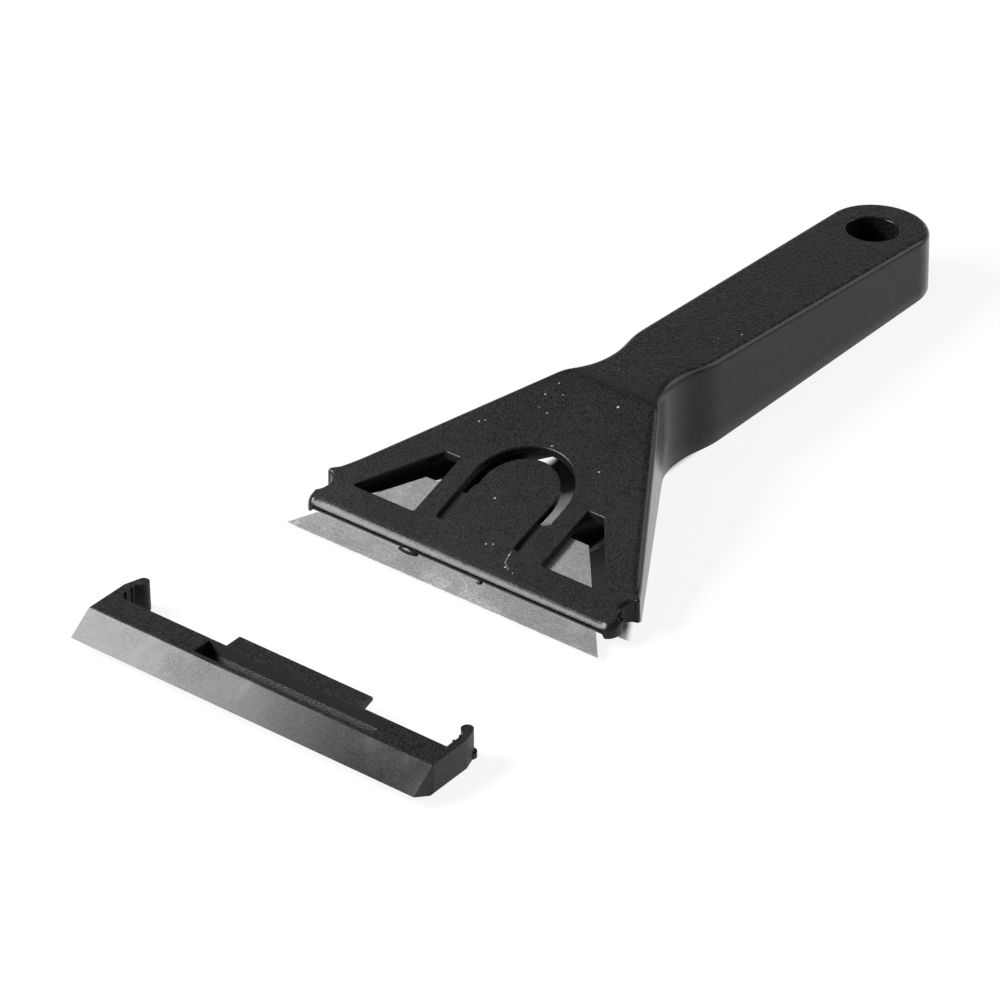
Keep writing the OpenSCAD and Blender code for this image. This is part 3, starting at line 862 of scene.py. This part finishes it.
class ScraperGuard(bpy.types.PropertyGroup):
    edge_round: FloatProperty(name="Edge round", description="Rounding of the guard's edges",
                              default=0.00025, min=0.00005, max=0.0006,
                              subtype="DISTANCE", unit="LENGTH")
    dark: colour("Dark", "Darker tone of the guard's plastic", (0.002, 0.002, 0.0021))
    pale: colour("Pale", "Paler tone of the guard's plastic", (0.024, 0.024, 0.0247))


class ScraperStage(bpy.types.PropertyGroup):
    key: FloatProperty(name="Key light",
                       description="Power of the soft light above the left front, in watts",
                       default=12.8, min=0.0, max=200.0)
    fill: FloatProperty(name="Fill", description="Strength of the white surroundings", default=0.2,
                        min=0.0, max=2.0)
    floor: colour("Floor", "Colour of the floor", (0.92, 0.92, 0.92))


class SCRAPER_OT_holder(bpy.types.Operator):
    """Builds the holder's skin, its underframe and the flash on its lip"""
    bl_idname = "scraper.holder"
    bl_label = "Build holder"

    def execute(self, context):
        settings = context.scene.scraper_holder
        plastic = holder_plastic(settings)
        skin = holder_skin(settings.lip_round, settings.grip_round)
        body = skin.piece("holder_skin", "holder", "holder_plastic", plastic)
        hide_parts("holder")
        underframe_skin().piece("holder_underframe", "holder", "holder_plastic", plastic)
        flash_skin().piece("lip_flash", "holder", "holder_plastic", plastic, 60)
        return {"FINISHED"}


class SCRAPER_OT_tongue(bpy.types.Operator):
    """Builds the sprung tongue in the head's slot"""
    bl_idname = "scraper.tongue"
    bl_label = "Build tongue"

    def execute(self, context):
        material = bpy.data.materials["grained_plastic"]
        piece = tongue_skin().piece("tongue_plate", "tongue", "holder_plastic", material)
        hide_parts("release_tongue")
        return {"FINISHED"}


class SCRAPER_OT_blade(bpy.types.Operator):
    """Builds the steel blade with its ground edge"""
    bl_idname = "scraper.blade"
    bl_label = "Build blade"

    def execute(self, context):
        material = steel(context.scene.scraper_blade)
        piece = blade_skin().piece("blade_steel_strip", "blade", "blade_steel", material, 8)
        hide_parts("blade")
        return {"FINISHED"}


class SCRAPER_OT_guard(bpy.types.Operator):
    """Builds the clip-on guard with rounded edges"""
    bl_idname = "scraper.guard"
    bl_label = "Build guard"

    def execute(self, context):
        settings = context.scene.scraper_guard
        piece = carried_copy("blade_guard", "guard_body", "guard",
                             guard_plastic(settings), settings.edge_round)
        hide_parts("blade_guard")
        return {"FINISHED"}


class SCRAPER_OT_web(bpy.types.Operator):
    """Builds the web below the bar behind the guard's pocket"""
    bl_idname = "scraper.web"
    bl_label = "Build guard web"

    def execute(self, context):
        skin = Skin()
        web = np.array(WEB)
        ends = [np.stack([GUARD_NOSE_X + web[:, 0], np.full(4, GUARD_ASIDE + y), web[:, 1]], 1)
                for y in WEB_ENDS]
        skin.slab(*ends)
        skin.piece("guard_web", "guard", "guard_plastic", bpy.data.materials["satin_plastic"])
        return {"FINISHED"}


class SCRAPER_OT_stage(bpy.types.Operator):
    """Sets up the floor, the soft lights, the white surroundings and the camera"""
    bl_idname = "scraper.stage"
    bl_label = "Build stage"

    def execute(self, context):
        settings = context.scene.scraper_stage
        scene = context.scene
        scene.view_settings.view_transform = "Standard"
        floor_mesh = bpy.data.meshes.new("floor")
        corners = [(FLOOR_HALF * x, FLOOR_HALF * y, 0)
                   for x, y in ((-1, -1), (1, -1), (1, 1), (-1, 1))]
        floor_mesh.from_pydata(corners, [], [(0, 1, 2, 3)])
        floor = bpy.data.objects.new("floor", floor_mesh)
        floor.location.z = FLOOR_Z
        scene.collection.objects.link(floor)
        floor.data.materials.append(floor_material(settings))
        surroundings(scene, settings.fill)
        for name, place, target, size, share in LAMPS:
            area_light(name, place, target, size, settings.key * share)
        lens = bpy.data.cameras.new("camera")
        lens.sensor_width = CAMERA_SENSOR
        lens.lens = CAMERA_LENS
        lens.clip_start, lens.clip_end = 0.05, 50
        camera = bpy.data.objects.new("camera", lens)
        scene.collection.objects.link(camera)
        camera.location = CAMERA_PLACE
        camera.rotation_mode = "QUATERNION"
        camera.rotation_quaternion = (-Vector(CAMERA_AWAY)).to_track_quat("-Z", "Y")
        scene.camera = camera
        return {"FINISHED"}


def ray_wire(tree):
    """1 for rays of the camera, of reflections and of transmission, 0 for those of soft light."""
    path = tree.nodes.new("ShaderNodeLightPath")
    return Wire(tree, path.outputs["Is Camera Ray"]) + Wire(tree, path.outputs["Is Glossy Ray"]) \
        + Wire(tree, path.outputs["Is Transmission Ray"])


def floor_material(settings):
    """Pale floor that takes the object's shadow. Seen by the camera or in a reflection it is lifted
    towards white, but not inside the hollow moulding, where only a little light falls in; there a
    round painted pool of light glows fully white."""
    material = bpy.data.materials.new("floor")
    material.use_nodes = True
    tree = material.node_tree
    tree.nodes.clear()
    output = tree.nodes.new("ShaderNodeOutputMaterial")
    seen = ray_wire(tree)
    place = Wire(tree, tree.nodes.new("ShaderNodeTexCoord").outputs["Object"])
    x = axis(place, 0) * 1000 + float(ORIGIN[0])
    aside = (axis(place, 1) * 1000 + float(ORIGIN[1])).math("ABSOLUTE")
    behind_lip = x.between(*PATCH_FRONT)
    head_half = (PATCH_HEAD_HALF - SIDE_FALL * (x - EAR_X)) * behind_lip
    half = head_half.math("MAXIMUM", PATCH_GRIP_HALF)
    under = (half - aside).between(-1.0, 1.5) * behind_lip * x.between(*PATCH_END)
    # Painted pool of light: inside the dim patch the floor glows fully white in a round spot,
    # standing in for light seen through the slot
    light_pool = near_point(place, PAINTED_LIGHT_SPOT, PAINTED_LIGHT_RADIUS)
    shade = (under * (1 - light_pool)).clipped()
    plain = seen.out("ShaderNodeBsdfDiffuse", Color=(*settings.floor, 1))
    glow = seen.out("ShaderNodeEmission", Color=(1, 1, 1, 1), Strength=1.0)
    lift = (seen * (1 - shade) * (FLOOR_LIFT + (1 - FLOOR_LIFT) * light_pool)).clipped()
    both = seen.out("ShaderNodeMixShader", in_0=lift, in_1=plain, in_2=glow)
    tree.links.new(both.socket, output.inputs[0])
    return material


def surroundings(scene, fill):
    """Studio: a backdrop all round that is white, strength 1, where it is seen or mirrored, under a
    dimmer ceiling that has the fill's strength, which also lights the object from all sides."""
    world = bpy.data.worlds.new("surroundings")
    scene.world = world
    world.use_nodes = True
    tree = world.node_tree
    tree.nodes.clear()
    output = tree.nodes.new("ShaderNodeOutputWorld")
    direction = Wire(tree, tree.nodes.new("ShaderNodeTexCoord").outputs["Generated"])
    seen = ray_wire(tree).clipped() * axis(direction, 2).between(*HORIZON)
    light = seen.out("ShaderNodeBackground", Color=(1, 1, 1, 1), Strength=fill)
    white = seen.out("ShaderNodeBackground", Color=(1, 1, 1, 1), Strength=1.0)
    both = seen.out("ShaderNodeMixShader", in_0=seen, in_1=light, in_2=white)
    tree.links.new(both.socket, output.inputs[0])


def area_light(name, place, target, size, power):
    """Square soft light that looks at a point."""
    data = bpy.data.lights.new(name, "AREA")
    data.size = size
    data.energy = power
    lamp = bpy.data.objects.new(name, data)
    lamp.location = place
    lamp.rotation_mode = "QUATERNION"
    lamp.rotation_quaternion = (Vector(target) - Vector(place)).to_track_quat("-Z", "Y")
    bpy.context.scene.collection.objects.link(lamp)


BUILD_STEPS = (SCRAPER_OT_holder, SCRAPER_OT_tongue, SCRAPER_OT_blade, SCRAPER_OT_guard,
               SCRAPER_OT_web, SCRAPER_OT_stage)
STEP_SETTINGS = ("scraper_holder", None, "scraper_blade", "scraper_guard", None, "scraper_stage")
SETTINGS = {"scraper_holder": ScraperHolder, "scraper_blade": ScraperBlade,
            "scraper_guard": ScraperGuard, "scraper_stage": ScraperStage}


class SCRAPER_PT_panel(bpy.types.Panel):
    """Lists the scraper's sizes, colours and build steps"""
    bl_label = "Window scraper"
    bl_idname = "SCRAPER_PT_panel"
    bl_space_type = "VIEW_3D"
    bl_region_type = "UI"
    bl_category = "Scraper"

    def draw(self, context):
        for step, key in zip(BUILD_STEPS, STEP_SETTINGS):
            box = self.layout.box()
            if key:
                settings = getattr(context.scene, key)
                for name in SETTINGS[key].__annotations__:
                    box.prop(settings, name)
            box.operator(step.bl_idname)


CLASSES = (*SETTINGS.values(), *BUILD_STEPS, SCRAPER_PT_panel)


def register():
    """Registers the classes and hangs the settings on the scene."""
    for cls in CLASSES:
        bpy.utils.register_class(cls)
    for key, group in SETTINGS.items():
        setattr(bpy.types.Scene, key, PointerProperty(type=group))


def unregister():
    """Takes away what register() added."""
    for key in SETTINGS:
        delattr(bpy.types.Scene, key)
    for cls in reversed(CLASSES):
        bpy.utils.unregister_class(cls)


def main():
    register()
    for step in BUILD_STEPS:
        group, name = step.bl_idname.split(".")
        getattr(getattr(bpy.ops, group), name)()


if __name__ == "__main__":
    main()
